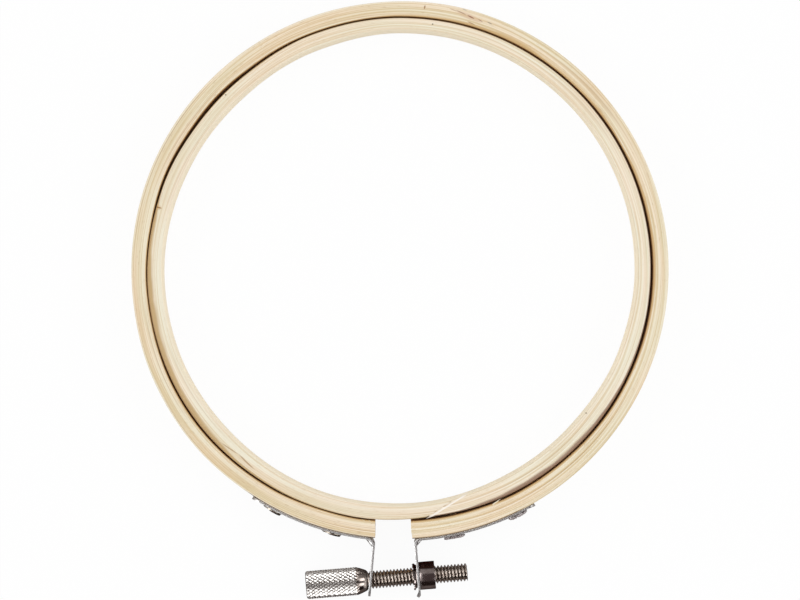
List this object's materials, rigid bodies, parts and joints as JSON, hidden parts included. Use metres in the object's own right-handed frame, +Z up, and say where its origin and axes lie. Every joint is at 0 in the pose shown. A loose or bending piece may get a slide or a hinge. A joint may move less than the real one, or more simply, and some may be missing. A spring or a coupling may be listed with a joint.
{
  "type": "embroidery hoop",
  "caption": "Round bamboo embroidery hoop: a split outer ring closed by a knurled thumbscrew, round a removable inner ring.",
  "frame": {"origin": "the middle of the inner hoop's round opening, half way up the hoops", "axes": "+Z up out of the front face, along the opening's axis; the screw is on the -Y side and its knob points to -X"},
  "size_m": [0.125, 0.1394, 0.009],
  "materials": {
    "outer_bamboo": "planed and lightly sanded bamboo",
    "inner_bamboo": "planed and lightly sanded bamboo",
    "bracket_steel": "stamped, dull plated",
    "rivet_steel": "stamped, dull plated",
    "screw_nickel": "turned and nickel plated"
  },
  "bodies": {
    "left_frame": {"outer_hoop": "outer_bamboo", "left_bracket": "bracket_steel", "left_gap_rivet": "rivet_steel", "left_tail_rivet": "rivet_steel"},
    "inner_ring": {"inner_hoop": "inner_bamboo"},
    "thumbscrew": {"threaded_rod": "screw_nickel", "thumb_knob": "screw_nickel"},
    "right_clamp": {"right_bracket": "bracket_steel", "right_gap_rivet": "rivet_steel", "right_tail_rivet": "rivet_steel", "clinch_nut": "screw_nickel"}
  },
  "joints": [
    {"name": "knob_turn", "type": "hinge", "parent": "left_frame", "child": "thumbscrew", "pos_m": [0, -0.07188, 0], "axis": [0.9966, 0.0819, 0], "range_deg": [-2250, 450]},
    {"name": "hoop_flex", "type": "hinge", "parent": "left_frame", "child": "right_clamp", "pos_m": [-0.0031, 0.06067, 0], "axis": [0, 0, 1], "range_deg": [-0.43, 2.15], "deforming": ["outer_hoop"]},
    {"name": "inner_hoop_lift", "type": "slide", "parent": "left_frame", "child": "inner_ring", "axis": [0, 0, 1], "range_m": [0, 0.025]}
  ],
  "couplings": [
    {"joint": "hoop_flex", "follows": "knob_turn", "ratio": -0.00095474}
  ]
}
